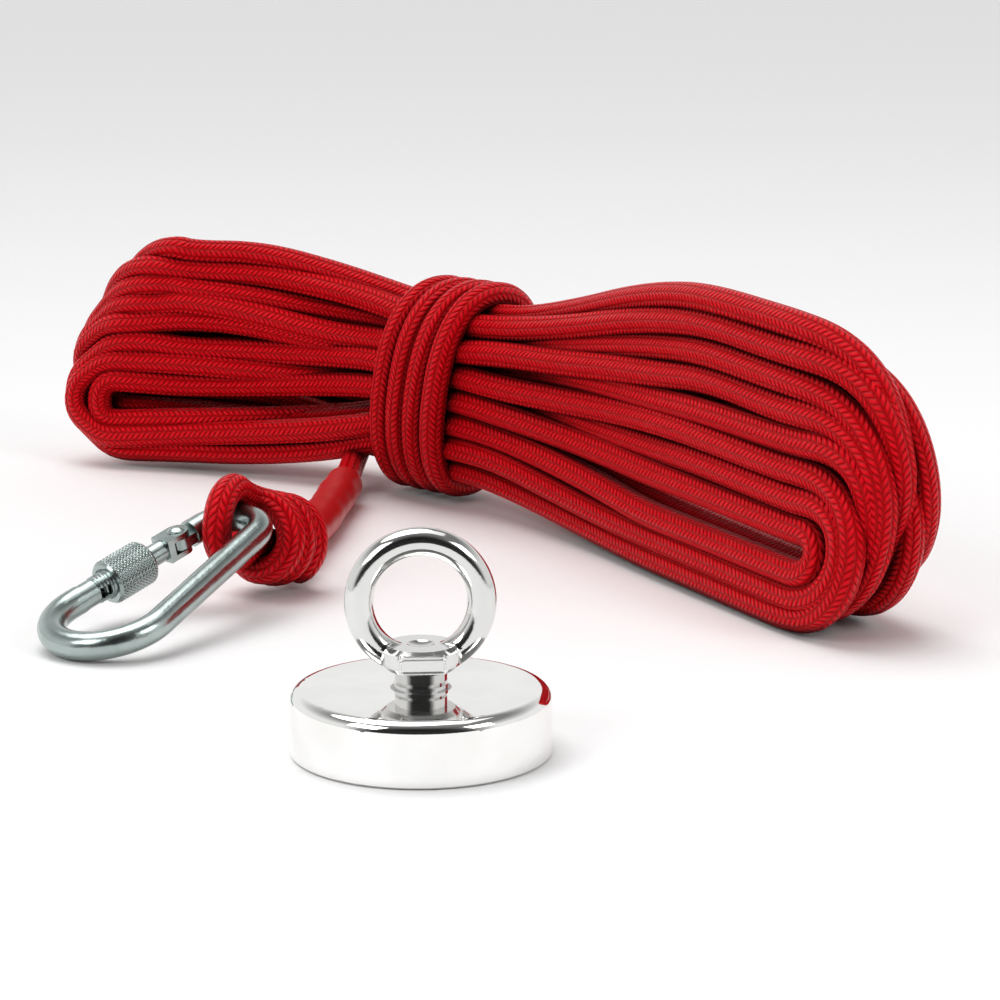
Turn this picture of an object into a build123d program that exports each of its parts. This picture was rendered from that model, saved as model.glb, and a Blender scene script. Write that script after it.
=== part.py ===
"""Magnet fishing set: a pot magnet with its eyebolt, and a hank of rope with a screw-lock hook.

Millimetres, +Z up. The origin is the centre of the magnet's working face, on the floor.
The rope lies behind the magnet (+Y) and the hook lies beside it, with its wide end on the floor.
"""

from build123d import *
import math
import os

# Pot magnet
POT_R = 30.0
POT_HEIGHT = 15.0
POT_EDGE_R = 2.8
POT_FOOT_CHAMFER = 0.4
CAVITY_R = 25.5
CAVITY_HEIGHT = 9.0
MAGNET_OUTER_R = 23.0
MAGNET_INNER_R = 11.0
POLE_R = 9.0
SPIGOT_R = 7.0
BORE_R = 4.02
BORE_BOTTOM = 3.0
RESIN_RECESS = 0.3

# Eyebolt and its washer
WASHER_R = 6.2
WASHER_BORE_R = 4.1
WASHER_HEIGHT = 1.1
WASHER_SPLIT = 1.0
SEAT_R = 4.75
SEAT_HEIGHT = 0.8
NECK_R = 6.0
NECK_TOP = 19.8
BOSS_R = 9.0
BOSS_BOTTOM = 19.6
BOSS_TOP = 25.2
BOSS_BEVEL = 1.1
DIMPLE_R = 3.2
DIMPLE_DEPTH = 0.7
PLATE_WIDTH = 11.5
PLATE_HEIGHT = 4.0
PLATE_FRONT = 9.6
EYE_CENTRE_Z = 35.0
EYE_R = 14.0
EYE_BAR_R = 3.3
EYE_TURN = 4.0
EYE_BLEND_R = 1.5
SHANK_R = 3.95
SHANK_LENGTH = 12.0
THREAD_PITCH = 1.25
THREAD_DEPTH = 0.6

# Screw-lock hook, in its own plane: x from the small end to the wide end, y towards the gate
WIRE_R = 3.75
HOOK_LENGTH = 80.0
SMALL_END_R = 9.5
WIDE_END_R = 15.5
HOOK_EYE = (-51.0, 136.0, 24.0)
HOOK_HEADING = 235.0
FLOOR_GAP = 0.02
TANG_START = 4.0
PIVOT_AT = 8.5
TANG_R = 3.4
TANG_HALF = 1.5
TANG_FLAT = 2.6
FORK_HALF = 3.2
FORK_SLOT_HALF = 1.75
FORK_ROOT = 12.4
FORK_END = 14.5
GATE_SHANK_R = 3.0
GATE_THREAD_START = 26.0
GATE_THREAD_R = 3.78
GATE_THREAD_PITCH = 1.1
GATE_THREAD_DEPTH = 0.45
GATE_END = 39.3
NOSE_FACE = 39.75
NOSE_NECK_END = 44.2
NOSE_NECK_R = 3.55
LATCH_AT = 37.9
LATCH_PIN_R = 0.8
LATCH_SLOT_HALF = 1.5
LATCH_SLOT_START = 35.7
TONGUE_HALF = 1.2
TONGUE_START = 36.3
LATCH_CLEARANCE = 0.2
RIVET_R = 1.5
RIVET_HEAD_R = 2.4
RIVET_HEAD_HEIGHT = 0.9
RUNNING_FIT = 0.06
PLUNGER_R = 1.6
PLUNGER_BORE_R = 1.7
PLUNGER_GAP = 0.15
PLUNGER_LENGTH = 4.0
SPRING_END = 24.0
SPRING_R = 1.2
SPRING_WIRE_R = 0.25
SPRING_TURNS = 9
NUT_R = 6.2
NUT_BORE_R = 3.85
NUT_START = 21.0
NUT_LENGTH = 13.8
NUT_CHAMFER = 0.9

# Rope
ROPE_D = 8.0
EYE_CLEARANCE = 0.3
KNOT_CENTRE = (-43.5, 151.5, 14.6)
KNOT_R = 14.4
SLEEVE_R = 6.2
LEAD_ROUTE = (
    (-43.0, 152.0, 12.0),
    (-41.0, 168.0, 6.7),
    (-38.6, 192.0, 6.3),
    (-35.2, 218.0, 6.3),
    (-33.0, 244.0, 6.3),
    (-30.6, 268.0, 6.3),
    (-29.5, 288.0, 8.2),
    (-27.0, 302.0, 13.0),
)
SLEEVE_START_Y = 172.0
SLEEVE_END_Y = 268.0
# Stations of the hank: x, y, height of the middle, half height, half thickness
HANK_STATIONS = (
    (-127.0, 345.0, 38.0, 16.0, 8.0),
    (-113.0, 341.0, 39.0, 33.0, 14.0),
    (-64.0, 325.0, 40.0, 37.0, 17.0),
    (-22.0, 301.0, 36.0, 31.0, 18.0),
    (6.0, 272.0, 36.0, 27.5, 17.0),
    (32.0, 243.0, 37.0, 32.0, 18.0),
    (60.0, 202.0, 41.0, 40.5, 19.0),
    (84.0, 158.0, 43.5, 43.0, 20.0),
    (104.0, 120.0, 42.0, 41.5, 19.0),
    (120.0, 92.0, 45.0, 33.0, 14.0),
    (128.0, 78.0, 46.0, 15.0, 8.0),
)
WAIST = 4
WRAP_COUNT = 4
WRAP_THICKNESS = 7.8


def ring(outer_r, inner_r, bottom, top):
    """A plain ring about Z, or a disc where inner_r is 0."""
    body = Pos(0, 0, bottom) * extrude(Circle(outer_r), top - bottom)
    if inner_r:
        body -= Pos(0, 0, bottom) * extrude(Circle(inner_r), top - bottom)
    return body


def grooved_rod(radius, start, end, pitch, depth):
    """A rod about Z with ring grooves standing for a thread."""
    points = [(0, start), (radius - depth, start)]
    for turn in range(int((end - start) / pitch)):
        crest = start + (turn + 0.5) * pitch
        points.append((radius, crest - 0.1 * pitch))
        points.append((radius, crest + 0.1 * pitch))
        points.append((radius - depth, crest + 0.5 * pitch))
    if end - points[-1][1] > 0.01:
        points.append((radius - depth, end))
    points.append((0, end))
    outline = Plane.XZ * make_face(Polyline(points, close=True))
    return revolve(outline, Axis.Z)


# ---------------------------------------------------------------- magnet


def steel_pot():
    body = ring(POT_R, 0, 0, POT_HEIGHT)
    rims = body.edges().filter_by(GeomType.CIRCLE).sort_by(Axis.Z)
    body = fillet(rims[-1], POT_EDGE_R)
    foot = body.edges().filter_by(GeomType.CIRCLE).sort_by(Axis.Z)[0]
    body = chamfer(foot, POT_FOOT_CHAMFER)
    body -= ring(CAVITY_R, 0, 0, CAVITY_HEIGHT)
    return body - ring(SPIGOT_R, 0, CAVITY_HEIGHT, POT_HEIGHT)


def centre_pole():
    body = ring(POLE_R, 0, 0, CAVITY_HEIGHT) + ring(SPIGOT_R, 0, CAVITY_HEIGHT, POT_HEIGHT)
    return body - ring(BORE_R, 0, BORE_BOTTOM, POT_HEIGHT)


def lock_washer():
    body = ring(WASHER_R, WASHER_BORE_R, POT_HEIGHT, POT_HEIGHT + WASHER_HEIGHT)
    align = (Align.MIN, Align.CENTER, Align.CENTER)
    split = Box(WASHER_R * 2, WASHER_SPLIT, WASHER_HEIGHT * 4, align=align)
    return body - Pos(0, 0, POT_HEIGHT) * Rot(0, 0, 140) * Rot(25, 0, 0) * split


def eye_ring():
    """The ring, cut off level inside the boss."""
    body = Pos(0, 0, EYE_CENTRE_Z) * Rot(90, 0, 0) * Torus(EYE_R, EYE_BAR_R)
    floor = BOSS_BOTTOM + BOSS_BEVEL
    keep = Pos(0, 0, floor) * Box(60, 60, 60, align=(Align.CENTER, Align.CENTER, Align.MIN))
    return body & keep


def eye_boss():
    body = ring(BOSS_R, 0, BOSS_BOTTOM, BOSS_TOP)
    body = chamfer(body.edges().filter_by(GeomType.CIRCLE), BOSS_BEVEL)
    dimple_r = (DIMPLE_R**2 + DIMPLE_DEPTH**2) / (2 * DIMPLE_DEPTH)
    body -= Pos(0, 0, BOSS_TOP + dimple_r - DIMPLE_DEPTH) * Sphere(dimple_r)
    plate = Box(PLATE_WIDTH, 6, PLATE_HEIGHT, align=(Align.CENTER, Align.MIN, Align.CENTER))
    plate = fillet(plate.edges().filter_by(Axis.Y), 1.2)
    return body + Pos(0, -PLATE_FRONT, (BOSS_BOTTOM + BOSS_TOP) / 2) * plate


def is_ring_joint(edge):
    """Whether an edge is where the ring meets the boss, above its lower bevel and off its dimple."""
    centre = edge.center()
    free_form = edge.geom_type not in (GeomType.LINE, GeomType.CIRCLE)
    in_place = abs(centre.X) > DIMPLE_R and abs(centre.Y) < EYE_BAR_R
    return free_form and in_place and centre.Z > BOSS_BOTTOM + BOSS_BEVEL + 1


def eye_bolt():
    seat_bottom = POT_HEIGHT + WASHER_HEIGHT
    neck_bottom = seat_bottom + SEAT_HEIGHT
    head = eye_boss() + eye_ring()
    joint_edges = [edge for edge in head.edges() if is_ring_joint(edge)]
    head = fillet(joint_edges, EYE_BLEND_R)
    body = Rot(0, 0, EYE_TURN) * head
    body += ring(NECK_R, 0, neck_bottom, NECK_TOP)
    body += ring(SEAT_R, 0, seat_bottom, neck_bottom)
    thread_top = seat_bottom - 1
    thread = grooved_rod(SHANK_R, seat_bottom - SHANK_LENGTH, thread_top, THREAD_PITCH, THREAD_DEPTH)
    return body + thread + ring(SHANK_R, 0, thread_top, seat_bottom)


# ---------------------------------------------------------------- hook


def hook_plane():
    """The hook's own plane: origin at the small end's middle, x along the hook, y towards the gate."""
    reach = HOOK_LENGTH - 2 * WIRE_R
    drop = HOOK_EYE[2] - WIRE_R - FLOOR_GAP
    slope = math.asin(drop / reach)
    heading = math.radians(HOOK_HEADING)
    along = Vector(
        math.cos(slope) * math.cos(heading),
        math.cos(slope) * math.sin(heading),
        -math.sin(slope),
    )
    side = Vector(math.sin(heading), -math.cos(heading), 0)
    return Plane(origin=HOOK_EYE, x_dir=along, z_dir=along.cross(side))


def hook_outline():
    """The pear's centres, the lean of its straight sides, and the gate side's start and direction."""
    small = Vector(SMALL_END_R, 0)
    wide = Vector(HOOK_LENGTH - 2 * WIRE_R - WIDE_END_R, 0)
    lean = math.asin((WIDE_END_R - SMALL_END_R) / (wide - small).length)
    start = small + Vector(-math.sin(lean), math.cos(lean)) * SMALL_END_R
    return small, wide, lean, start


def gate_line(t):
    """The point at distance t along the gate side, from where the small end's arc stops."""
    _, _, lean, start = hook_outline()
    return start + Vector(math.cos(lean), math.sin(lean)) * t


def gate_frame(t):
    """A frame on the gate side at t, with Z along it towards the nose and X out of the hook's plane."""
    _, _, lean, _ = hook_outline()
    along = Vector(math.cos(lean), math.sin(lean), 0)
    point = gate_line(t)
    return Plane(origin=(point.X, point.Y, 0), x_dir=(0, 0, 1), z_dir=along)


def gate_rod(radius, start, end):
    return gate_frame(start) * extrude(Circle(radius), end - start)


def gate_box(start, end, across_low, across_high, half_thick):
    """A block on the gate side: t from start to end, then its reach across (positive towards the
    inside of the hook) and its half thickness out of the hook's plane."""
    block = Box(
        2 * half_thick,
        across_high - across_low,
        end - start,
        align=(Align.CENTER, Align.MIN, Align.MIN),
    )
    return gate_frame(start) * Pos(0, across_low, 0) * block


def cross_pin(t, radius, half_length):
    """A pin through the hook's plane at t on the gate side."""
    point = gate_line(t)
    return Pos(point.X, point.Y, 0) * Cylinder(radius, 2 * half_length)


def hook_body():
    small, wide, lean, _ = hook_outline()
    out = Vector(-math.sin(lean), math.cos(lean))
    down = Vector(-math.sin(lean), -math.cos(lean))
    gate_wide = wide + out * WIDE_END_R
    spine_wide = wide + down * WIDE_END_R
    spine_small = small + down * SMALL_END_R
    gate_small = small + out * SMALL_END_R
    path = (
        Line(gate_line(NOSE_NECK_END), gate_wide)
        + ThreePointArc(gate_wide, wide + Vector(WIDE_END_R, 0), spine_wide)
        + Line(spine_wide, spine_small)
        + ThreePointArc(spine_small, Vector(0, 0), gate_small)
        + Line(gate_small, gate_line(TANG_START))
    )
    body = sweep(gate_frame(NOSE_NECK_END) * Circle(WIRE_R), path=Wire(path.edges()))
    body += gate_rod(NOSE_NECK_R, NOSE_FACE, NOSE_NECK_END)
    tongue = gate_box(TONGUE_START, NOSE_FACE + 0.5, -2.2, 2.4, TONGUE_HALF)
    notch_half = LATCH_PIN_R + LATCH_CLEARANCE
    tongue -= gate_box(LATCH_AT - notch_half, LATCH_AT + notch_half, 0, 3, 2)
    tongue -= cross_pin(LATCH_AT, notch_half, 2)
    body += tongue
    tang = gate_box(TANG_START - 1, PIVOT_AT, -TANG_R, TANG_R, TANG_HALF)
    tang += cross_pin(PIVOT_AT, TANG_R, TANG_HALF)
    tang -= gate_box(PIVOT_AT + TANG_FLAT, PIVOT_AT + 5, -5, 5, 3)
    body += tang
    return body - cross_pin(PIVOT_AT, RIVET_R, 6)


def gate_rivet():
    body = cross_pin(PIVOT_AT, RIVET_R, FORK_HALF + 0.1)
    point = gate_line(PIVOT_AT)
    dome_r = (RIVET_HEAD_R**2 + RIVET_HEAD_HEIGHT**2) / (2 * RIVET_HEAD_HEIGHT)
    base = FORK_HALF + 0.1
    for side in (1, -1):
        cap_at = side * (dome_r - RIVET_HEAD_HEIGHT / 2)
        dome = Sphere(dome_r) & Pos(0, 0, cap_at) * Box(9, 9, RIVET_HEAD_HEIGHT)
        body += Pos(point.X, point.Y, side * (base + RIVET_HEAD_HEIGHT - dome_r)) * dome
    return body


def gate():
    fork = gate_box(PIVOT_AT, FORK_END, -TANG_R, TANG_R, FORK_HALF)
    fork += cross_pin(PIVOT_AT, TANG_R, FORK_HALF)
    fork -= gate_box(PIVOT_AT - 5, FORK_ROOT, -5, 5, FORK_SLOT_HALF)
    fork -= cross_pin(PIVOT_AT, RIVET_R + RUNNING_FIT, 6)
    thread_length = GATE_END - GATE_THREAD_START
    thread = grooved_rod(GATE_THREAD_R, 0, thread_length, GATE_THREAD_PITCH, GATE_THREAD_DEPTH)
    body = fork + gate_rod(GATE_SHANK_R, FORK_END - 0.5, GATE_THREAD_START + 0.5)
    body += gate_frame(GATE_THREAD_START) * thread
    body -= gate_rod(PLUNGER_BORE_R, FORK_ROOT - 1, SPRING_END)
    body -= gate_box(LATCH_SLOT_START, GATE_END + 1, -5, 5, LATCH_SLOT_HALF)
    return body - cross_pin(LATCH_AT, LATCH_PIN_R, 5)


def latch_pin():
    return cross_pin(LATCH_AT, LATCH_PIN_R, GATE_THREAD_R - 0.25)


def spring_plunger():
    start = PIVOT_AT + TANG_FLAT + PLUNGER_GAP
    return gate_rod(PLUNGER_R, start, start + PLUNGER_LENGTH)


def gate_spring():
    start = PIVOT_AT + TANG_FLAT + PLUNGER_GAP + PLUNGER_LENGTH + SPRING_WIRE_R
    length = SPRING_END - start - SPRING_WIRE_R
    path = Helix(pitch=length / SPRING_TURNS, height=length, radius=SPRING_R)
    section = Plane(path @ 0, z_dir=path % 0) * Circle(SPRING_WIRE_R)
    return gate_frame(start) * sweep(section, path=path)


def locking_nut():
    body = gate_rod(NUT_R, NUT_START, NUT_START + NUT_LENGTH)
    body = chamfer(body.edges().filter_by(GeomType.CIRCLE), NUT_CHAMFER)
    return body - gate_rod(NUT_BORE_R, NUT_START, NUT_START + NUT_LENGTH)


# ---------------------------------------------------------------- rope


def corner_radii(points):
    """Each corner's arc is as large as its two runs allow."""
    radii = []
    for before, corner, after in zip(points, points[1:], points[2:]):
        first = Vector(corner) - Vector(before)
        second = Vector(after) - Vector(corner)
        half_turn = math.radians(first.get_angle(second)) / 2
        radii.append(0.45 * min(first.length, second.length) / math.tan(half_turn))
    return radii


def route_tube(points, radii, radius):
    path = FilletPolyline(*points, radius=radii)
    section = Plane(origin=points[0], z_dir=Vector(points[1]) - Vector(points[0])) * Circle(radius)
    return sweep(section, path=path), path.length


def point_at_y(first, second, y):
    """The point on a run where it crosses y."""
    share = (y - first[1]) / (second[1] - first[1])
    return tuple(a + share * (b - a) for a, b in zip(first, second))


def rope_knot():
    """The eye round the hook's wire and the knot behind it, as one closed outer shape."""
    plane = hook_plane()
    eye_r = WIRE_R + EYE_CLEARANCE + ROPE_D / 2
    eye = plane * Rot(90, 0, 0) * Torus(eye_r, ROPE_D / 2)
    return eye + Pos(KNOT_CENTRE) * Sphere(KNOT_R)


def heat_shrink_sleeve(radii):
    """The sleeve follows the rope through its inner corners."""
    start = point_at_y(LEAD_ROUTE[1], LEAD_ROUTE[2], SLEEVE_START_Y)
    end = point_at_y(LEAD_ROUTE[4], LEAD_ROUTE[5], SLEEVE_END_Y)
    corners = (start,) + LEAD_ROUTE[2:5] + (end,)
    outer, _ = route_tube(corners, sleeve_radii(corners, radii[1:4]), SLEEVE_R)
    return outer


def sleeve_radii(corners, rope_radii):
    """The rope's own radii, or less where the sleeve's end runs are too short for them."""
    return [min(own, rope) for own, rope in zip(corner_radii(corners), rope_radii)]


def station_plane(index):
    """The section plane of one hank station: x out of the hank's back, y up."""
    low = HANK_STATIONS[max(index - 1, 0)]
    high = HANK_STATIONS[min(index + 1, len(HANK_STATIONS) - 1)]
    along = Vector(high[0] - low[0], high[1] - low[1], 0).normalized()
    centre = HANK_STATIONS[index][:3]
    return Plane(origin=centre, x_dir=(-along.Y, along.X, 0), z_dir=along)


def rope_hank():
    sections = [
        station_plane(index) * Ellipse(station[4], station[3])
        for index, station in enumerate(HANK_STATIONS)
    ]
    return loft(sections, ruled=True)


def rope_wraps(hank):
    station = HANK_STATIONS[WAIST]
    length = WRAP_COUNT * ROPE_D
    section = Ellipse(station[4] + WRAP_THICKNESS, station[3] + WRAP_THICKNESS)
    plane = station_plane(WAIST)
    body = plane * Pos(0, 0, -length / 2) * extrude(section, length)
    return body - hank


def main():
    os.makedirs("parts", exist_ok=True)
    plane = hook_plane()
    knot = rope_knot()
    hank = rope_hank()
    radii = corner_radii(LEAD_ROUTE)
    lead, lead_length = route_tube(LEAD_ROUTE, radii, ROPE_D / 2)
    section_area = math.pi * ROPE_D**2 / 4
    print("lead radii", [round(r, 1) for r in radii])
    print("lead volume / (section x length)", round(lead.volume / (section_area * lead_length), 4))
    sleeve = heat_shrink_sleeve(radii) - lead
    nodes = {
        "steel_pot": steel_pot(),
        "centre_pole": centre_pole(),
        "magnet_ring": ring(MAGNET_OUTER_R, MAGNET_INNER_R, 0, CAVITY_HEIGHT),
        "resin_outer": ring(CAVITY_R, MAGNET_OUTER_R, RESIN_RECESS, CAVITY_HEIGHT),
        "resin_inner": ring(MAGNET_INNER_R, POLE_R, RESIN_RECESS, CAVITY_HEIGHT),
        "lock_washer": lock_washer(),
        "eye_bolt": eye_bolt(),
        "hook_body": plane * hook_body(),
        "gate": plane * gate(),
        "gate_rivet": plane * gate_rivet(),
        "gate_spring": plane * gate_spring(),
        "spring_plunger": plane * spring_plunger(),
        "latch_pin": plane * latch_pin(),
        "locking_nut": plane * locking_nut(),
        "rope_knot": knot,
        "rope_lead": lead - knot - hank,
        "heat_shrink_sleeve": sleeve,
        "rope_hank": hank,
        "rope_wraps": rope_wraps(hank),
    }
    for name, shape in nodes.items():
        export_step(shape, f"parts/{name}.step")


main()
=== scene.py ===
"""Looks of a magnet fishing set: a pot magnet with its eyebolt, and a hank of braided rope with a
screw-lock hook on its end. Metres, in the CAD model's own frame."""

import bpy
import math
import random
from mathutils import Matrix, Vector


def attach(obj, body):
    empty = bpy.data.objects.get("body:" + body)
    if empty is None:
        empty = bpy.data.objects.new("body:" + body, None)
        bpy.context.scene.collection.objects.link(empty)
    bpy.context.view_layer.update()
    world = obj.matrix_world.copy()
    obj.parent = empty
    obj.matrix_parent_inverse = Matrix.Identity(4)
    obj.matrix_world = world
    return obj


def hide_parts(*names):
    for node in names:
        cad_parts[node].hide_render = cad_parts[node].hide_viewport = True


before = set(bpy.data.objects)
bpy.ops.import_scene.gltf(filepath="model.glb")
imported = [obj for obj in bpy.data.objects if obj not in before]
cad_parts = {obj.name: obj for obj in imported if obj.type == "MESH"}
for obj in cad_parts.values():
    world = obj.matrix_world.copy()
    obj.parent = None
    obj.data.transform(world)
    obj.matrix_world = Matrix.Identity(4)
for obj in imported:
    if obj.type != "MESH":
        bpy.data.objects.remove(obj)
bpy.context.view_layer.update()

UP = Vector((0, 0, 1))

# Rope and sleeve
ROPE_D = 0.008
ROPE_R = ROPE_D / 2
RING_SIDES = 16
RING_STEP = 0.00176
BRAID_COLUMNS = 10
BRAID_PITCH = 0.0019
LEAD_ROUTE = (
    (-0.0430, 0.1520, 0.0120),
    (-0.0410, 0.1680, 0.0067),
    (-0.0386, 0.1920, 0.0063),
    (-0.0352, 0.2180, 0.0063),
    (-0.0330, 0.2440, 0.0063),
    (-0.0306, 0.2680, 0.0063),
    (-0.0295, 0.2880, 0.0082),
    (-0.0270, 0.3020, 0.0130),
)
SLEEVE_START_Y = 0.172
SLEEVE_END_Y = 0.268
SLEEVE_R = 0.0062
# Stations of the hank: x, y, height of the middle
HANK_STATIONS = (
    (-0.127, 0.345, 0.038),
    (-0.113, 0.341, 0.039),
    (-0.064, 0.325, 0.040),
    (-0.022, 0.301, 0.036),
    (0.006, 0.272, 0.036),
    (0.032, 0.243, 0.037),
    (0.060, 0.202, 0.041),
    (0.084, 0.158, 0.0435),
    (0.104, 0.120, 0.042),
    (0.120, 0.092, 0.045),
    (0.128, 0.078, 0.046),
)
WAIST = 4

# The hook's pose, as in the CAD model
HOOK_EYE = Vector((-0.051, 0.136, 0.024))
HOOK_LENGTH = 0.080
HOOK_WIRE_R = 0.00375
HOOK_HEADING = math.radians(235)
HOOK_SMALL_R = 0.0095
HOOK_WIDE_R = 0.0155
FLOOR_GAP = 0.00002

# The locking nut: its start along the gate's middle line, its bore and its knurl
NUT_R = 0.0062
NUT_BORE_R = 0.00385
NUT_BORE_BEVEL = 0.0005
NUT_START = 0.0210
NUT_LENGTH = 0.0138
NUT_BEVEL = 0.0009
NUT_TEETH = 34
NUT_KNURL_PITCH = 0.00115
NUT_GROOVE_DEPTH = 0.00034
NUT_SIDES_PER_TOOTH = 8
NUT_RINGS = 84


# ------------------------------------------------------------------ camera


def make_camera():
    data = bpy.data.cameras.new("camera")
    data.lens = 108
    data.sensor_width = 36
    data.clip_start = 0.01
    camera = bpy.data.objects.new("camera", data)
    bpy.context.collection.objects.link(camera)
    camera.location = (0.018, -0.659, 0.201)
    camera.rotation_euler = (math.radians(90 - 12.2), 0, 0)
    bpy.context.scene.camera = camera


make_camera()


# ------------------------------------------------------------------ materials


class Nodes:
    """A small helper for building one material's node tree."""

    def __init__(self, name):
        self.material = bpy.data.materials.new(name)
        self.material.use_nodes = True
        self.tree = self.material.node_tree
        self.shader = self.tree.nodes["Principled BSDF"]

    def add(self, kind, inputs=None, **settings):
        node = self.tree.nodes.new(kind)
        for key, value in settings.items():
            setattr(node, key, value)
        for key, value in (inputs or {}).items():
            self.set(node.inputs[key], value)
        return node

    def set(self, socket, value):
        if isinstance(value, bpy.types.NodeSocket):
            self.tree.links.new(value, socket)
        else:
            socket.default_value = value

    def math(self, operation, first, second=None, third=None, clamp=False):
        node = self.add("ShaderNodeMath", operation=operation, use_clamp=clamp)
        for index, value in enumerate((first, second, third)):
            if value is not None:
                self.set(node.inputs[index], value)
        return node.outputs[0]

    def ramp(self, factor, stops):
        node = self.add("ShaderNodeValToRGB", {"Fac": factor})
        elements = node.color_ramp.elements
        while len(elements) < len(stops):
            elements.new(0.5)
        for element, (position, colour) in zip(elements, stops):
            element.position = position
            element.color = (*colour, 1)
        return node.outputs["Color"]

    def mix(self, factor, first, second, blend="MIX"):
        node = self.add("ShaderNodeMix", data_type="RGBA", blend_type=blend)
        self.set(node.inputs[0], factor)
        self.set(node.inputs[6], first)
        self.set(node.inputs[7], second)
        return node.outputs[2]

    def noise(self, scale, detail, vector, roughness=0.5):
        inputs = {"Scale": scale, "Detail": detail, "Roughness": roughness, "Vector": vector}
        return self.add("ShaderNodeTexNoise", inputs).outputs["Fac"]

    def object_coords(self, scale=(1, 1, 1), rotation=(0, 0, 0)):
        coords = self.add("ShaderNodeTexCoord").outputs["Object"]
        inputs = {"Vector": coords, "Scale": scale, "Rotation": rotation}
        return self.add("ShaderNodeMapping", inputs).outputs[0]

    def bump(self, height, distance, strength):
        inputs = {"Height": height, "Distance": distance, "Strength": strength}
        return self.add("ShaderNodeBump", inputs).outputs[0]

    def finish(self, **sockets):
        for key, value in sockets.items():
            self.set(self.shader.inputs[key.replace("_", " ")], value)
        return self.material


def rope_material():
    """Braided sheath: columns of slanted stitches, leaning one way and then the other."""
    m = Nodes("rope_braid")
    uv = m.add("ShaderNodeSeparateXYZ", {"Vector": m.add("ShaderNodeTexCoord").outputs["UV"]})
    along = m.math("DIVIDE", uv.outputs["X"], BRAID_PITCH)
    around = m.math("MULTIPLY", uv.outputs["Y"], BRAID_COLUMNS)
    column = m.math("FLOOR", around)
    across = m.math("SUBTRACT", m.math("FRACT", around), 0.5)
    parity = m.math("MODULO", column, 2)
    lean = m.math("SUBTRACT", m.math("MULTIPLY", parity, 2), 1)
    slanted = m.math("MULTIPLY_ADD", m.math("MULTIPLY", lean, across), 0.95, along)
    shifted = m.math("MULTIPLY_ADD", parity, 0.5, slanted)
    stitch = m.math("SUBTRACT", m.math("FRACT", shifted), 0.5)
    across_far = m.math("ABSOLUTE", m.math("MULTIPLY", across, 2))
    stitch_far = m.math("ABSOLUTE", m.math("MULTIPLY", stitch, 2))
    cross_round = m.math("SUBTRACT", 1, m.math("POWER", across_far, 2.6))
    stitch_round = m.math("SUBTRACT", 1, m.math("POWER", stitch_far, 2.2))
    height = m.math("MULTIPLY", cross_round, stitch_round)
    fibres_at = m.add(
        "ShaderNodeCombineXYZ",
        {"X": m.math("MULTIPLY", shifted, 7), "Y": m.math("MULTIPLY", around, 0.8), "Z": 0.0},
    )
    fibres = m.noise(2.0, 2, fibres_at.outputs[0])
    wear = m.noise(90, 3, m.object_coords())
    relief = m.math("MULTIPLY_ADD", fibres, 0.25, height)
    # Painted shade and painted highlight: the colour runs from a dark red in the low crevices
    # between stitches to a brighter red on the stitch tops
    colour = m.ramp(
        relief,
        (
            (0.0, (0.20, 0.000, 0.001)),
            (0.24, (0.62, 0.001, 0.003)),
            (0.80, (0.88, 0.001, 0.006)),
            (1.0, (0.97, 0.006, 0.018)),
        ),
    )
    colour = m.mix(m.math("MULTIPLY", wear, 0.35), colour, (0.58, 0.001, 0.004, 1))
    # Painted shade: the colour is multiplied by a dark red where ambient occlusion finds
    # neighbouring strands close by, darkening the gaps between strands; the same occlusion also
    # raises the roughness there
    occlusion = m.add("ShaderNodeAmbientOcclusion", {"Distance": 0.007}, samples=6)
    painted_shade = m.ramp(occlusion.outputs["AO"], ((0.25, (0.10, 0.03, 0.03)), (0.85, (1, 1, 1))))
    colour = m.mix(1.0, colour, painted_shade, "MULTIPLY")
    rough = m.math("MULTIPLY_ADD", fibres, 0.18, 0.90)
    return m.finish(
        Base_Color=colour,
        Roughness=m.math("MULTIPLY_ADD", occlusion.outputs["AO"], -0.60, rough, clamp=True),
        Specular_IOR_Level=0.28,
        Specular_Tint=(1.0, 0.22, 0.26, 1),
        Normal=m.bump(relief, 0.0011, 1.0),
    )


def sleeve_material():
    m = Nodes("shrunk_sleeve")
    coords = m.object_coords()
    mottle = m.noise(160, 3, coords)
    creases = m.noise(60, 2, m.object_coords((1, 0.15, 1)))
    colour = m.mix(mottle, (0.52, 0.012, 0.012, 1), (0.42, 0.004, 0.007, 1))
    height = m.math("MULTIPLY_ADD", creases, 1.0, m.math("MULTIPLY", mottle, 0.3))
    return m.finish(
        Base_Color=colour,
        Roughness=m.math("MULTIPLY_ADD", mottle, 0.15, 0.30),
        Normal=m.bump(height, 0.0006, 0.35),
    )


def nickel_material(name, base, rough_low, rough_high, bump_distance):
    m = Nodes(name)
    coords = m.object_coords()
    cloud = m.noise(70, 3, coords)
    fine = m.noise(900, 2, coords)
    dark = (base[0] * 0.93, base[1] * 0.93, base[2] * 0.92, 1)
    colour = m.mix(m.ramp(cloud, ((0.35, (0, 0, 0)), (0.7, (1, 1, 1)))), (*base, 1), dark)
    rough = m.math("MULTIPLY_ADD", cloud, rough_high - rough_low, rough_low)
    height = m.math("MULTIPLY_ADD", fine, 0.15, cloud)
    return m.finish(
        Base_Color=colour, Metallic=1.0, Roughness=rough, Normal=m.bump(height, bump_distance, 0.5)
    )


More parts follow.
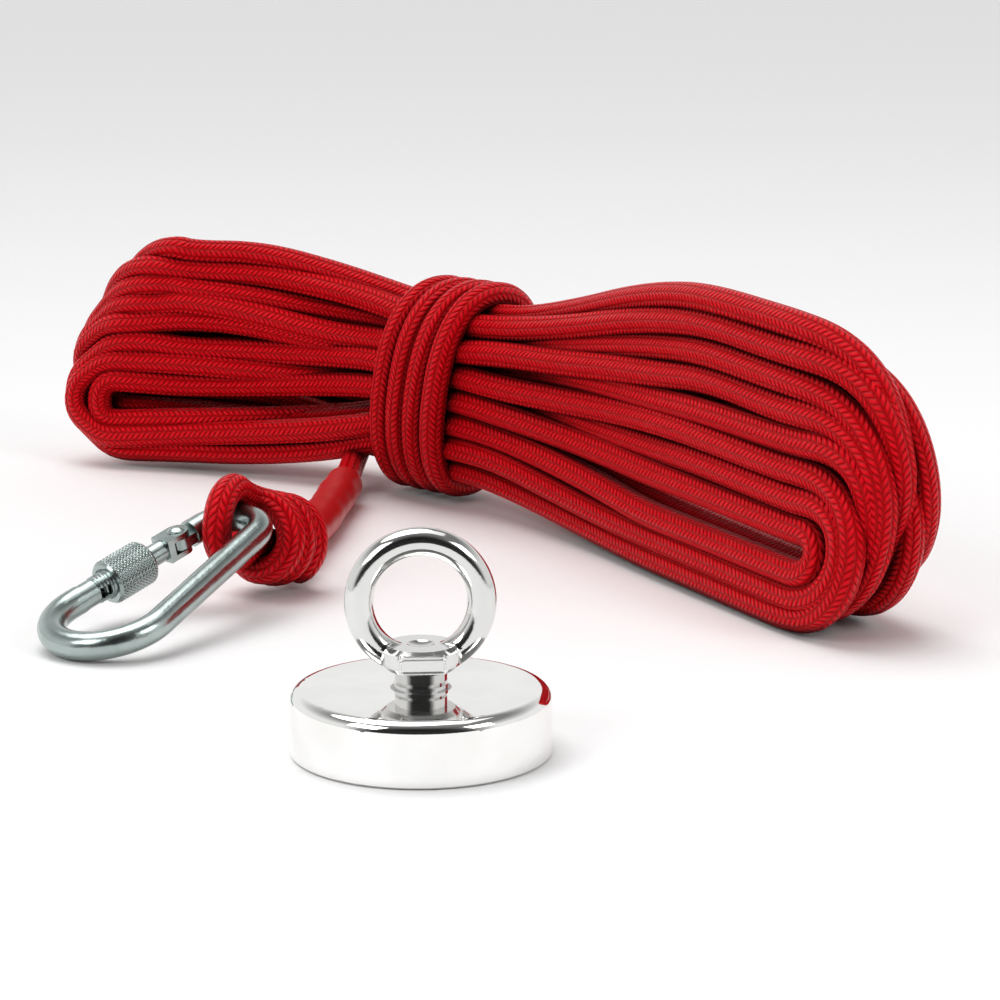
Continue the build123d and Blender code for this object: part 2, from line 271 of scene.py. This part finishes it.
def zinc_material():
    """Bright zinc over drawn wire: cool grey-green, with lengthwise draw marks and dull spots."""
    m = Nodes("zinc_wire")
    coords = m.object_coords()
    cloud = m.noise(110, 4, coords, 0.6)
    draw = m.noise(260, 3, m.object_coords((1.0, 0.12, 1.0), (0, 0, math.radians(-35))))
    tint = m.mix(cloud, (0.50, 0.57, 0.555, 1), (0.29, 0.35, 0.335, 1))
    rough = m.math("MULTIPLY_ADD", draw, 0.22, 0.13)
    height = m.math("MULTIPLY_ADD", cloud, 0.5, draw)
    return m.finish(
        Base_Color=tint, Metallic=1.0, Roughness=rough, Normal=m.bump(height, 0.00025, 0.5)
    )


def resin_material():
    m = Nodes("potting_resin")
    ripple = m.noise(240, 3, m.object_coords())
    colour = m.mix(ripple, (0.012, 0.012, 0.013, 1), (0.035, 0.035, 0.036, 1))
    return m.finish(
        Base_Color=colour,
        Roughness=m.math("MULTIPLY_ADD", ripple, 0.3, 0.25),
        Normal=m.bump(ripple, 0.0004, 0.4),
    )


def assign(node, material):
    data = bpy.data.objects[node].data
    data.materials.clear()
    data.materials.append(material)
    data.polygons.foreach_set("material_index", [0] * len(data.polygons))


# ------------------------------------------------------------------ rope route


def hank_distances():
    totals = [0.0]
    for first, second in zip(HANK_STATIONS, HANK_STATIONS[1:]):
        totals.append(totals[-1] + (Vector(second).xy - Vector(first).xy).length)
    return totals


DISTANCES = hank_distances()
HANK_LENGTH = DISTANCES[-1]
WAIST_AT = DISTANCES[WAIST]


def catmull_rom(points, index, share):
    """A point on the smooth line through the points, this share of the way from one to the next."""
    picked = [max(0, min(len(points) - 1, index + offset)) for offset in (-1, 0, 1, 2)]
    before, first, second, after = (Vector(points[i]) for i in picked)
    square = share * share
    cube = square * share
    return 0.5 * (
        2 * first
        + (second - before) * share
        + (2 * before - 5 * first + 4 * second - after) * square
        + (3 * first - before - 3 * second + after) * cube
    )


def axis_point(distance):
    """A point on the hank's middle line, which runs on straight past its ends."""
    held = max(0.0, min(HANK_LENGTH - 1e-6, distance))
    index = max(i for i, total in enumerate(DISTANCES[:-1]) if total <= held)
    share = (held - DISTANCES[index]) / (DISTANCES[index + 1] - DISTANCES[index])
    point = catmull_rom(HANK_STATIONS, index, share)
    if distance < 0:
        first, second = Vector(HANK_STATIONS[0]), Vector(HANK_STATIONS[1])
        return point + (first - second).normalized() * -distance
    if distance > HANK_LENGTH:
        first, second = Vector(HANK_STATIONS[-2]), Vector(HANK_STATIONS[-1])
        return point + (second - first).normalized() * (distance - HANK_LENGTH)
    return point


def axis_frame(distance):
    """The middle line's point and the direction out of the hank's back there."""
    reach = 0.012
    along = axis_point(distance + reach) - axis_point(distance - reach)
    along.z = 0
    along.normalize()
    return axis_point(distance), Vector((-along.y, along.x, 0))


def place(distance, height, depth):
    """A point of the hank, no lower than where a rope lies on the floor."""
    point, back = axis_frame(distance)
    point = point + UP * height + back * depth
    point.z = max(point.z, ROPE_R + 0.0001)
    return point


def smooth(share):
    share = max(0.0, min(1.0, share))
    return share * share * (3 - 2 * share)


MM = 0.001
FRONT_TURNS = 8
BACK_TURNS = 4
TURNS = 1 + FRONT_TURNS + BACK_TURNS
# Past these distances the runs have fanned out fully from the waist
RIGHT_FULL = DISTANCES[7]
LEFT_FULL = DISTANCES[2] - 0.018
# Where each front turn ends, in millimetres: past station 8, and from station 0 at the left
RIGHT_TIPS = (16, 24.5, 27.5, 29, 30.5, 31.5, 32, 30)
LEFT_TIPS = (16, 10, 9, 9.5, 9.5, 10, 13, 20)
# A half turn's points, and a lead-in at each side of it
HALF_TURN_STEPS = 8
HALF_TURN_ANGLE = 22.5
LEAD_IN_REACH = -0.4
TURN_REACH = 1.03
RUN_GAP = 0.003
# The runs sway to and fro a little: radians a metre, and how much at each side of the waist
SWAY_TURN = 42
LEFT_SWAY = 1.4
RIGHT_SWAY = 0.5
# The runs inside the wraps: how many in each row from the top, and the rows' and layers' spacing
WAIST_ROWS = (3, 4, 4, 4, 4, 4, 3)
WAIST_TOP = 22.5
WAIST_ROW_PITCH = 7.5
WAIST_LAYER_PITCH = 7.6
WAIST_NUDGE = 1.2
# The wraps: their number, the points in each, where they start in degrees, and the half height and
# half depth of the squared round that they follow
WRAP_TURNS = 4.06
WRAP_POINTS = 14
WRAP_START = 15
WRAP_HALF_HEIGHT = 0.0315
WRAP_HALF_DEPTH = 0.0190
WRAP_SQUARING = 0.85
WRAP_SLANT = 0.005


def turn_order():
    """The turns in the order they're laid: one at the back, the front ones, and the back ones."""
    return [("back", BACK_TURNS)] + [("front", k) for k in range(FRONT_TURNS)] + [
        ("back", BACK_TURNS - 1 - k) for k in range(BACK_TURNS)
    ]


def right_slots():
    """Each turn's upper and lower run where the right end has fanned out, and its end's place.

    A run is its height above the middle line and its depth behind it, in millimetres."""
    slots = []
    for turn, (side, k) in enumerate(turn_order()):
        if side == "front":
            upper = (-15.0 + 7.5 * k, -13.5 + 1.0 * k)
            lower = (-26.2 - 6.6 * (k % 3), -15 + 7.8 * (k // 3))
            tip = RIGHT_TIPS[k]
        else:
            upper = (-1.0 + 7.6 * k, 4.0 - 0.5 * k)
            lower = (-24 - 7.2 * (k % 3), 8.4 + 6.6 * (k // 3))
            tip = 27 + 1.0 * k
        slots.append((upper, lower, tip))
    return slots


def left_slots():
    """The same for the left end, with one lower run more: the first comes from the lead."""
    uppers = []
    lowers = []
    tips = []
    for side, k in turn_order():
        if side == "front":
            uppers.append((-10.5 + 6.25 * k, -12.0 + 0.9 * k))
            height = -24.0 - 4.8 * (k % 3) + 3.2 * (k // 3)
            lowers.append((height, -14 + 7.4 * (k // 3) - (2.5 if k % 3 == 1 else 0.0)))
            tips.append(LEFT_TIPS[k])
        else:
            uppers.append((-1.0 + 6.9 * k, 4.5 - 0.5 * k))
            lowers.append((-12.5 - 7.2 * (k % 3) - 3.6 * (k // 3), 7.6 + 6.0 * (k // 3)))
            tips.append(14 + 1.5 * k)
    lowers[0] = (-32.5, 0.0)
    lowers.append((-25.0, 12.0))
    return uppers, lowers, tips


def waist_slots(runs):
    """Each run's height and depth inside the wraps: runs keep their order from the right end."""
    order = sorted(range(len(runs)), key=lambda index: -runs[index][0])
    slots = {}
    start = 0
    for row, size in enumerate(WAIST_ROWS):
        members = sorted(order[start : start + size], key=lambda index: runs[index][1])
        start += size
        for layer, index in enumerate(members):
            depth = (layer - (len(members) - 1) / 2) * WAIST_LAYER_PITCH
            nudge = WAIST_NUDGE if layer % 2 else -WAIST_NUDGE
            slots[index] = (WAIST_TOP - WAIST_ROW_PITCH * row + nudge, depth)
    return slots


def hank_points(rng):
    """The control points of the hank's turns, from the lead's end to the last run's end."""
    right = right_slots()
    left_upper, left_lower, left_tips = left_slots()
    ends = []
    for upper, lower, _ in right:
        ends.append(upper)
        ends.append(lower)
    waist = waist_slots(ends)
    points = []

    def jitter(amount):
        return rng.uniform(-amount, amount)

    def run_points(left_at, waist_at, right_at, stops):
        phase = rng.uniform(0, 2 * math.pi)
        lift = rng.uniform(0.8, 2.0)
        for distance in stops:
            if distance <= WAIST_AT:
                share = smooth((WAIST_AT - distance) / (WAIST_AT - LEFT_FULL))
                target = left_at
            else:
                share = smooth((distance - WAIST_AT) / (RIGHT_FULL - WAIST_AT))
                target = right_at
            height = waist_at[0] + (target[0] - waist_at[0]) * share
            depth = waist_at[1] + (target[1] - waist_at[1]) * share
            if share > 0.05:
                sway = lift * (LEFT_SWAY if distance < WAIST_AT else RIGHT_SWAY)
                height += sway * math.sin(distance * SWAY_TURN + phase) + jitter(0.4)
                depth += sway * math.cos(distance * SWAY_TURN + phase) + jitter(0.6)
            points.append(place(distance, height * MM, depth * MM))

    def turn_points(centre, direction, start, end, extent, behind):
        """A half turn from start to end, out along the hank and behind its neighbours."""
        middle_h = (start[0] + end[0]) / 2
        half_h = (start[0] - end[0]) / 2
        run_end = LEFT_FULL if direction < 0 else RIGHT_FULL
        for step in range(-1, HALF_TURN_STEPS + 2):
            radians = math.radians(min(max(step, 0), HALF_TURN_STEPS) * HALF_TURN_ANGLE)
            share = (1 - math.cos(radians)) / 2
            height = middle_h + half_h * math.cos(radians)
            depth = start[1] + (end[1] - start[1]) * share + behind * math.sin(radians)
            lead_in = step in (-1, HALF_TURN_STEPS + 1)
            reach = LEAD_IN_REACH if lead_in else math.sin(radians) * TURN_REACH
            distance = centre + direction * extent * reach
            if (distance - run_end) * direction > RUN_GAP:
                points.append(place(distance, height * MM, depth * MM))

    left_stops = [LEFT_FULL, DISTANCES[2] + 0.006, DISTANCES[3] - 0.014, DISTANCES[3] + 0.010]
    waist_stops = [WAIST_AT - 0.012, WAIST_AT + 0.012]
    right_stops = [DISTANCES[5] - 0.006, DISTANCES[5] + 0.022]
    right_stops += [DISTANCES[6], DISTANCES[6] + 0.026, RIGHT_FULL]
    all_stops = left_stops + waist_stops + right_stops

    order = turn_order()
    for turn in range(TURNS):
        lower_from = left_lower[turn]
        upper_to = left_upper[turn]
        if turn == 0:
            points.append(place(DISTANCES[2] + 0.016, -0.0285, -0.002))
            points.append(place(LEFT_FULL, lower_from[0] * MM, lower_from[1] * MM))
        half = abs(upper_to[0] - lower_from[0]) / 2
        tip_at = left_tips[turn] * MM
        extent = min(max(half * 1.05, 5.5), 24.0) * MM
        side, k = order[turn]
        behind = 1.6 * k if side == "front" else 0.0
        turn_points(tip_at + extent, -1, lower_from, upper_to, extent, behind)
        upper, lower, tip = right[turn]
        run_points(upper_to, waist[2 * turn], upper, all_stops)
        half = abs(upper[0] - lower[0]) / 2
        extent = min(max(half * 1.1, 6.0), 34.0) * MM
        tip_at = DISTANCES[8] + tip * MM
        turn_points(tip_at - extent, 1, upper, lower, extent, behind * 0.4)
        stops = list(reversed(all_stops))
        if turn == TURNS - 1:
            stops = list(reversed(right_stops))
        run_points(left_lower[turn + 1], waist[2 * turn + 1], lower, stops)
    return points


def wrap_points():
    """A little over four wraps round the waist. The rope's bare end is behind it."""
    first, last = WAIST_AT + 0.0115, WAIST_AT - 0.0215
    count = int(WRAP_TURNS * WRAP_POINTS)
    points = []
    for step in range(count + 1):
        share = step / count
        angle = math.radians(WRAP_START) + share * WRAP_TURNS * 2 * math.pi
        sine, cosine = math.sin(angle), math.cos(angle)
        height = WRAP_HALF_HEIGHT * math.copysign(abs(sine) ** WRAP_SQUARING, sine)
        depth = WRAP_HALF_DEPTH * math.copysign(abs(cosine) ** WRAP_SQUARING, cosine)
        slant = WRAP_SLANT * height / WRAP_HALF_HEIGHT
        points.append(place(first + (last - first) * share + slant, height, depth))
    return points


def knot_points():
    """From the tail's end, about two and a half times round the knot, then the eye round the hook's
    wire, and back into the knot."""
    centre = Vector((-0.0452, 0.1490, 0.0156))
    along = Vector((0.42, 0.86, -0.28)).normalized()
    side = along.cross(UP).normalized()
    over = side.cross(along)
    points = [
        Vector((-0.0372, 0.1720, 0.0080)),
        Vector((-0.0393, 0.1645, 0.0070)),
        Vector((-0.0390, 0.1578, 0.0059)),
    ]
    turns = 2.44
    count = 34
    for step in range(count + 1):
        share = step / count
        angle = math.radians(-60) + share * turns * 2 * math.pi
        offset = 0.0090 - 0.0160 * share
        points.append(
            centre
            + along * offset
            + side * (0.0094 * math.cos(angle))
            + over * (0.0095 * math.sin(angle))
        )
    points += [
        Vector((-0.0524, 0.1438, 0.0290)),
        Vector((-0.0545, 0.1382, 0.0328)),
        Vector((-0.0572, 0.1292, 0.0305)),
        Vector((-0.0585, 0.1260, 0.0205)),
        Vector((-0.0560, 0.1325, 0.0125)),
        Vector((-0.0525, 0.1415, 0.0130)),
        Vector((-0.0470, 0.1480, 0.0155)),
    ]
    return points


def spline_points(name, controls):
    """The points of a smooth NURBS line that has these control points."""
    curve = bpy.data.curves.new(name, "CURVE")
    curve.dimensions = "3D"
    spline = curve.splines.new("NURBS")
    spline.points.add(len(controls) - 1)
    for point, place_at in zip(spline.points, controls):
        point.co = (*place_at, 1)
    spline.order_u = 3
    spline.use_endpoint_u = True
    spline.resolution_u = 10
    holder = bpy.data.objects.new(name, curve)
    bpy.context.collection.objects.link(holder)
    mesh = bpy.data.meshes.new_from_object(holder)
    line = [vertex.co.copy() for vertex in mesh.vertices]
    bpy.data.objects.remove(holder)
    bpy.data.curves.remove(curve)
    bpy.data.meshes.remove(mesh)
    return line


def resample(line, step):
    """The same line as points an even distance apart."""
    total = sum((b - a).length for a, b in zip(line, line[1:]))
    count = max(2, round(total / step))
    step = total / count
    points = [line[0].copy()]
    travelled = 0.0
    for first, second in zip(line, line[1:]):
        length = (second - first).length
        while len(points) < count and step * len(points) <= travelled + length:
            points.append(first.lerp(second, (step * len(points) - travelled) / length))
        travelled += length
    points.append(line[-1].copy())
    return points


def tube_mesh(name, points, radius_at, sides):
    """A closed tube round the points, with its length in metres as U and its way round as V."""
    frames = []
    across = None
    for index, point in enumerate(points):
        ahead = points[min(index + 1, len(points) - 1)] - points[max(index - 1, 0)]
        ahead.normalize()
        if across is None:
            across = ahead.orthogonal()
        across = (across - ahead * across.dot(ahead)).normalized()
        frames.append((point, across.copy(), ahead.cross(across)))
    vertices = []
    travelled = [0.0]
    for first, second in zip(points, points[1:]):
        travelled.append(travelled[-1] + (second - first).length)
    for index, (point, side, other) in enumerate(frames):
        radius = radius_at(travelled[index], travelled[-1])
        for step in range(sides):
            angle = 2 * math.pi * step / sides
            vertices.append(point + (side * math.cos(angle) + other * math.sin(angle)) * radius)
    faces = []
    uvs = []
    for ring in range(len(points) - 1):
        for step in range(sides):
            after = (step + 1) % sides
            low, high = ring * sides, (ring + 1) * sides
            faces.append((low + step, low + after, high + after, high + step))
            v_low, v_high = step / sides, (step + 1) / sides
            uvs += [
                (travelled[ring], v_low),
                (travelled[ring], v_high),
                (travelled[ring + 1], v_high),
                (travelled[ring + 1], v_low),
            ]
    last = (len(points) - 1) * sides
    faces.append(tuple(reversed(range(sides))))
    uvs += [(0.0, 0.0)] * sides
    faces.append(tuple(range(last, last + sides)))
    uvs += [(travelled[-1], 0.0)] * sides
    mesh = bpy.data.meshes.new(name)
    mesh.from_pydata(vertices, [], faces)
    layer = mesh.uv_layers.new(name="UVMap")
    for loop, uv in zip(layer.data, uvs):
        loop.uv = uv
    mesh.polygons.foreach_set("use_smooth", [True] * len(mesh.polygons))
    mesh.update()
    piece = bpy.data.objects.new(name, mesh)
    bpy.context.collection.objects.link(piece)
    return piece


def make_rope():
    rng = random.Random(7)
    controls = knot_points() + [Vector(point) for point in LEAD_ROUTE]
    controls += hank_points(rng) + wrap_points()
    line = spline_points("rope_route", controls)
    points = resample(line, RING_STEP)

    def radius_at(travelled, whole):
        end = min(travelled, whole - travelled)
        return ROPE_R * min(1.0, 0.72 + 70 * end)

    rope = tube_mesh("rope", points, radius_at, RING_SIDES)
    rope.data.materials.append(rope_material())
    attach(rope, "rope")
    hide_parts("rope_knot", "rope_lead", "rope_hank", "rope_wraps")
    return rope, points, line


def make_sleeve(line):
    """The shrunk sleeve over the lead, on the part of the rope's own line that it covers."""
    inside = [
        point
        for point in line
        if SLEEVE_START_Y <= point.y <= SLEEVE_END_Y
        and point.z < 0.0075
        and -0.045 < point.x < -0.03
    ]
    points = resample(inside, 0.001)

    def radius_at(travelled, whole):
        end = min(travelled, whole - travelled)
        rounding = 0.0022
        short = max(0.0, rounding - end)
        swell = 0.00012 * math.sin(travelled * 190) + 0.00010 * math.sin(travelled * 431 + 1)
        return SLEEVE_R - 0.0003 + swell - (rounding - math.sqrt(rounding**2 - short**2))

    sleeve = tube_mesh("shrunk_sleeve", points, radius_at, 40)
    sleeve.data.materials.append(sleeve_material())
    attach(sleeve, "rope")
    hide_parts("heat_shrink_sleeve")


rope_piece, rope_points, rope_line = make_rope()
make_sleeve(rope_line)


# ------------------------------------------------------------------ metal


def hook_frame():
    """The hook's directions: along it from the small end, and across it towards the gate."""
    reach = HOOK_LENGTH - 2 * HOOK_WIRE_R
    slope = math.asin((HOOK_EYE.z - HOOK_WIRE_R - FLOOR_GAP) / reach)
    cosine = math.cos(slope)
    flat = (cosine * math.cos(HOOK_HEADING), cosine * math.sin(HOOK_HEADING))
    along = Vector((*flat, -math.sin(slope)))
    across = Vector((math.sin(HOOK_HEADING), -math.cos(HOOK_HEADING), 0))
    return along, across


def gate_line(distance):
    """The point at this distance along the gate's middle line, and the line's direction."""
    along, across = hook_frame()
    gap = HOOK_LENGTH - 2 * HOOK_WIRE_R - HOOK_WIDE_R - HOOK_SMALL_R
    lean = math.asin((HOOK_WIDE_R - HOOK_SMALL_R) / gap)
    direction = along * math.cos(lean) + across * math.sin(lean)
    start = HOOK_EYE + along * (HOOK_SMALL_R * (1 - math.sin(lean)))
    start += across * (HOOK_SMALL_R * math.cos(lean))
    return start + direction * distance, direction


def nut_radius(angle, height):
    """The knurled outside: two crossed sets of helical grooves, fading out at the bevelled ends."""
    end = min(height, NUT_LENGTH - height)
    bevel = max(0.0, NUT_BEVEL - end)
    teeth = angle / (2 * math.pi) * NUT_TEETH
    twist = height / NUT_KNURL_PITCH
    first = abs((teeth + twist) % 1.0 - 0.5) * 2
    second = abs((teeth - twist) % 1.0 - 0.5) * 2
    groove = max(first, second) ** 2.2
    depth = NUT_GROOVE_DEPTH * groove * min(1.0, max(0.0, (end - NUT_BEVEL * 0.7) / 0.0003))
    return NUT_R - depth - bevel * 0.9


def make_nut():
    base, direction = gate_line(NUT_START)
    _, across = hook_frame()
    side = (across - direction * across.dot(direction)).normalized()
    other = direction.cross(side)
    around = NUT_TEETH * NUT_SIDES_PER_TOOTH
    angles = [2 * math.pi * i / around for i in range(around)]
    rings = []
    for step in range(NUT_RINGS + 1):
        height = NUT_LENGTH * step / NUT_RINGS
        rings.append([(height, nut_radius(angle, height)) for angle in angles])
    for height in (NUT_LENGTH, 0.0):
        rings.append([(height, NUT_BORE_R + NUT_BORE_BEVEL)] * around)
        inner = height - NUT_BORE_BEVEL if height else NUT_BORE_BEVEL
        rings.append([(inner, NUT_BORE_R)] * around)
    rings[-1], rings[-2] = rings[-2], rings[-1]
    vertices = []
    for row in rings:
        for angle, (height, radius) in zip(angles, row):
            outwards = side * math.cos(angle) + other * math.sin(angle)
            vertices.append(base + direction * height + outwards * radius)
    faces = []
    for row in range(len(rings)):
        low, high = row * around, (row + 1) % len(rings) * around
        for index in range(around):
            after = (index + 1) % around
            faces.append((low + index, low + after, high + after, high + index))
    mesh = bpy.data.meshes.new("knurled_nut")
    mesh.from_pydata(vertices, [], faces)
    mesh.update()
    nut = bpy.data.objects.new("knurled_nut", mesh)
    bpy.context.collection.objects.link(nut)
    mesh.polygons.foreach_set("use_smooth", [True] * len(mesh.polygons))
    mesh.set_sharp_from_angle(angle=math.radians(40))
    return nut


def make_plate_rim(material):
    """The raised border of the blank plate on the eyebolt's boss."""
    half_width, half_height, corner = 0.0050, 0.00150, 0.0009
    front, middle_z = -0.00962, 0.0224
    turn = Matrix.Rotation(math.radians(4), 3, "Z")
    corners = ((1, 1, 0), (-1, 1, 90), (-1, -1, 180), (1, -1, 270))
    loop = []
    for sign_x, sign_z, start in corners:
        for step in range(7):
            angle = math.radians(start + 15 * step)
            x = sign_x * (half_width - corner) + corner * math.cos(angle)
            z = sign_z * (half_height - corner) + corner * math.sin(angle)
            loop.append(turn @ Vector((x, front, middle_z + z)))
    loop.append(loop[0].copy())
    points = resample(loop, 0.0002)
    rim = tube_mesh("plate_rim", points, lambda travelled, whole: 0.00024, 10)
    rim.data.materials.append(material)
    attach(rim, "eye_bolt")


def finish_metal():
    nickel = nickel_material("bright_nickel", (0.93, 0.925, 0.915), 0.035, 0.075, 0.00005)
    zinc = zinc_material()
    turned = nickel_material("turned_steel", (0.50, 0.50, 0.50), 0.22, 0.34, 0.0002)
    magnet = nickel_material("magnet_coat", (0.68, 0.67, 0.65), 0.12, 0.24, 0.0001)
    resin = resin_material()
    cast = nickel_material("cast_nickel", (0.74, 0.74, 0.73), 0.06, 0.15, 0.00016)
    assign("steel_pot", nickel)
    for node in ("eye_bolt", "lock_washer"):
        assign(node, cast)
    make_plate_rim(cast)
    for node in ("hook_body", "gate", "gate_rivet"):
        assign(node, zinc)
    nut = make_nut()
    nut.data.materials.append(zinc)
    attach(nut, "nut")
    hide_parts("locking_nut")
    for node in ("centre_pole", "gate_spring", "spring_plunger", "latch_pin"):
        assign(node, turned)
    for node in ("resin_outer", "resin_inner"):
        assign(node, resin)
    assign("magnet_ring", magnet)


finish_metal()


# ------------------------------------------------------------------ studio


def make_floor():
    mesh = bpy.data.meshes.new("floor")
    size = 6.0
    mesh.from_pydata(
        [(-size, -size, 0), (size, -size, 0), (size, size, 0), (-size, size, 0)], [], [(0, 1, 2, 3)]
    )
    floor = bpy.data.objects.new("floor", mesh)
    bpy.context.collection.objects.link(floor)
    floor.location.z = -0.0002
    m = Nodes("floor_paper")
    grain = m.noise(400, 2, m.object_coords())
    colour = m.mix(grain, (0.93, 0.93, 0.93, 1), (0.90, 0.90, 0.90, 1))
    mesh.materials.append(m.finish(Base_Color=colour, Roughness=0.75))


def make_light(name, at, towards, size, power, size_y=None):
    data = bpy.data.lights.new(name, "AREA")
    data.energy = power
    data.shape = "RECTANGLE"
    data.size = size
    data.size_y = size_y or size
    light = bpy.data.objects.new(name, data)
    bpy.context.collection.objects.link(light)
    light.location = at
    light.rotation_euler = (Vector(towards) - Vector(at)).to_track_quat("-Z", "Y").to_euler()


def make_world():
    """A white studio with a dark side behind the camera, for the metal to reflect."""
    world = bpy.data.worlds.new("studio")
    world.use_nodes = True
    bpy.context.scene.world = world
    tree = world.node_tree
    background = tree.nodes["Background"]
    coords = tree.nodes.new("ShaderNodeTexCoord")
    split = tree.nodes.new("ShaderNodeSeparateXYZ")
    front = tree.nodes.new("ShaderNodeMapRange")
    front.interpolation_type = "SMOOTHSTEP"
    front.inputs["From Min"].default_value = -0.78
    front.inputs["From Max"].default_value = -0.30
    front.inputs["To Min"].default_value = 0.03
    front.inputs["To Max"].default_value = 1.0
    tree.links.new(coords.outputs["Generated"], split.inputs[0])
    tree.links.new(split.outputs["Y"], front.inputs["Value"])
    high = tree.nodes.new("ShaderNodeMapRange")
    high.inputs["From Min"].default_value = 0.35
    high.inputs["From Max"].default_value = 0.75
    high.inputs["To Min"].default_value = 1.0
    high.inputs["To Max"].default_value = 0.25
    tree.links.new(split.outputs["Z"], high.inputs["Value"])
    both = tree.nodes.new("ShaderNodeMath")
    both.operation = "MULTIPLY"
    tree.links.new(front.outputs[0], both.inputs[0])
    tree.links.new(high.outputs[0], both.inputs[1])
    tree.links.new(both.outputs[0], background.inputs["Color"])
    background.inputs["Strength"].default_value = 0.9


def make_sun():
    """A wide soft sun, which lights the floor evenly to the far edge."""
    data = bpy.data.lights.new("sun", "SUN")
    data.energy = 1.5
    data.angle = math.radians(50)
    sun = bpy.data.objects.new("sun", data)
    bpy.context.collection.objects.link(sun)
    sun.location = (0, 0, 3)
    sun.rotation_euler = (math.radians(-14), math.radians(-12), 0)


def make_view():
    settings = bpy.context.scene.view_settings
    settings.view_transform = "Standard"
    settings.look = "None"


make_floor()
make_world()
make_view()
make_light("softbox_left", (-0.75, -0.55, 0.75), (0, 0.0, 0), 0.55, 4.0)
make_light("softbox_right", (0.85, -0.50, 0.70), (0, 0.05, 0), 0.45, 3.0)
make_light("softbox_top", (0.0, 0.25, 1.3), (0, 0.15, 0), 1.2, 3.0, 0.8)
make_sun()
